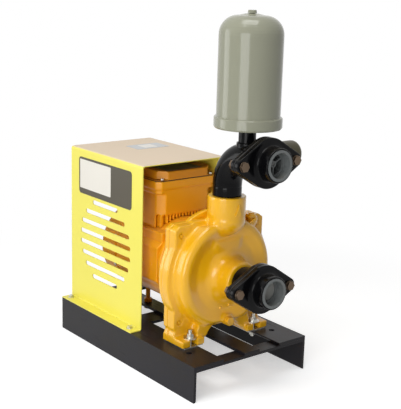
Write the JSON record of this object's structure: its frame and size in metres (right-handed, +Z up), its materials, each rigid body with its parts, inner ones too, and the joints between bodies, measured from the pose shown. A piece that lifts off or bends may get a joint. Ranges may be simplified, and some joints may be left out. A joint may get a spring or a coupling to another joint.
{
  "type": "variable speed pump",
  "caption": "Booster pump on a steel base: volute casing, motor with a drive box under a louvred sheet cover, flanged suction and outlet ports, pressure transmitter and tank.",
  "frame": {"origin": "on the floor plane, at the middle of the whole object's plan box", "axes": "+Z up along the tank; -Y the way both ports face; the shaft runs along Y; +X to the viewer's right when looking into the ports"},
  "size_m": [0.3, 0.556, 0.7535],
  "materials": {
    "casing_paint": "thick satin enamel over a cast surface",
    "motor_paint": "satin enamel",
    "cover_paint": "smooth powder coat",
    "fitting_black": "gloss black enamel",
    "base_black": "semi-gloss black",
    "zinc_steel": "zinc plated, slightly dull",
    "brown_steel": "nickel plated with a warm tint",
    "bearing_steel": "ground and polished",
    "laminations": "stacked sheet edges",
    "winding_copper": "varnished copper wire",
    "impeller_bronze": "cast and turned",
    "valve_grey": "plain moulded",
    "poppet_grey": "plain moulded",
    "tank_olive": "smooth satin enamel",
    "transmitter_olive": "fine matt",
    "dark_plastic": "matt moulded",
    "rubber_black": "dull",
    "ceramic_white": "lapped",
    "carbon_black": "lapped",
    "board_green": "lacquered"
  },
  "bodies": {
    "pump_set": {"left_rail": "base_black", "right_rail": "base_black", "crossbars": "base_black", "centre_strip": "base_black", "volute_casing": "casing_paint", "casing_back_plate": "casing_paint", "casing_seal_ring": "rubber_black", "casing_bolts": "zinc_steel", "seal_seat": "ceramic_white", "drain_plug": "casing_paint", "priming_plug": "casing_paint", "foot_fasteners": "zinc_steel", "motor_frame": "motor_paint", "front_endshield": "motor_paint", "rear_endshield": "motor_paint", "stator_core": "laminations", "stator_windings": "winding_copper", "front_bearing_outer": "bearing_steel", "rear_bearing_outer": "bearing_steel", "bearing_balls": "bearing_steel", "wave_washer": "bearing_steel", "fan_cowl": "motor_paint", "cowl_screws": "zinc_steel", "motor_support_post": "motor_paint", "drive_box": "motor_paint", "drive_lid": "motor_paint", "drive_lid_gasket": "rubber_black", "drive_lid_screws": "zinc_steel", "drive_panel": "dark_plastic", "drive_board": "board_green", "cable_glands": "dark_plastic", "motor_cover": "cover_paint", "cover_screws": "zinc_steel", "outlet_elbow": "fitting_black", "outlet_flange": "fitting_black", "suction_adaptor": "fitting_black", "suction_flange": "fitting_black", "union_gaskets": "rubber_black", "union_bolts": "brown_steel", "outlet_valve_body": "valve_grey", "outlet_valve_spring": "bearing_steel", "suction_valve_body": "valve_grey", "suction_valve_spring": "bearing_steel", "pressure_transmitter": "transmitter_olive", "tank_nipple": "fitting_black", "tank_shell": "tank_olive", "tank_base": "tank_olive", "tank_bladder": "rubber_black", "tank_air_valve": "tank_olive"},
    "rotor": {"shaft": "bearing_steel", "rotor_core": "laminations", "impeller": "impeller_bronze", "seal_head": "carbon_black", "seal_spring": "bearing_steel", "cooling_fan": "dark_plastic", "front_bearing_inner": "bearing_steel", "rear_bearing_inner": "bearing_steel", "water_slinger": "rubber_black"},
    "suction_poppet": {"suction_valve_poppet": "poppet_grey"},
    "outlet_poppet": {"outlet_valve_poppet": "poppet_grey"}
  },
  "joints": [
    {"name": "rotor_spin", "type": "hinge", "parent": "pump_set", "child": "rotor", "pos_m": [0, 0.028, 0.2135], "axis": [0, 1, 0], "continuous": true},
    {"name": "suction_poppet_slide", "type": "slide", "parent": "pump_set", "child": "suction_poppet", "axis": [0, 1, 0], "range_m": [0, 0.008], "stiffness_N_per_m": 150, "springref_m": -0.004, "deforming": ["suction_valve_spring"]},
    {"name": "outlet_poppet_slide", "type": "slide", "parent": "pump_set", "child": "outlet_poppet", "axis": [0, -1, 0], "range_m": [0, 0.008], "stiffness_N_per_m": 150, "springref_m": -0.004, "deforming": ["outlet_valve_spring"]}
  ]
}
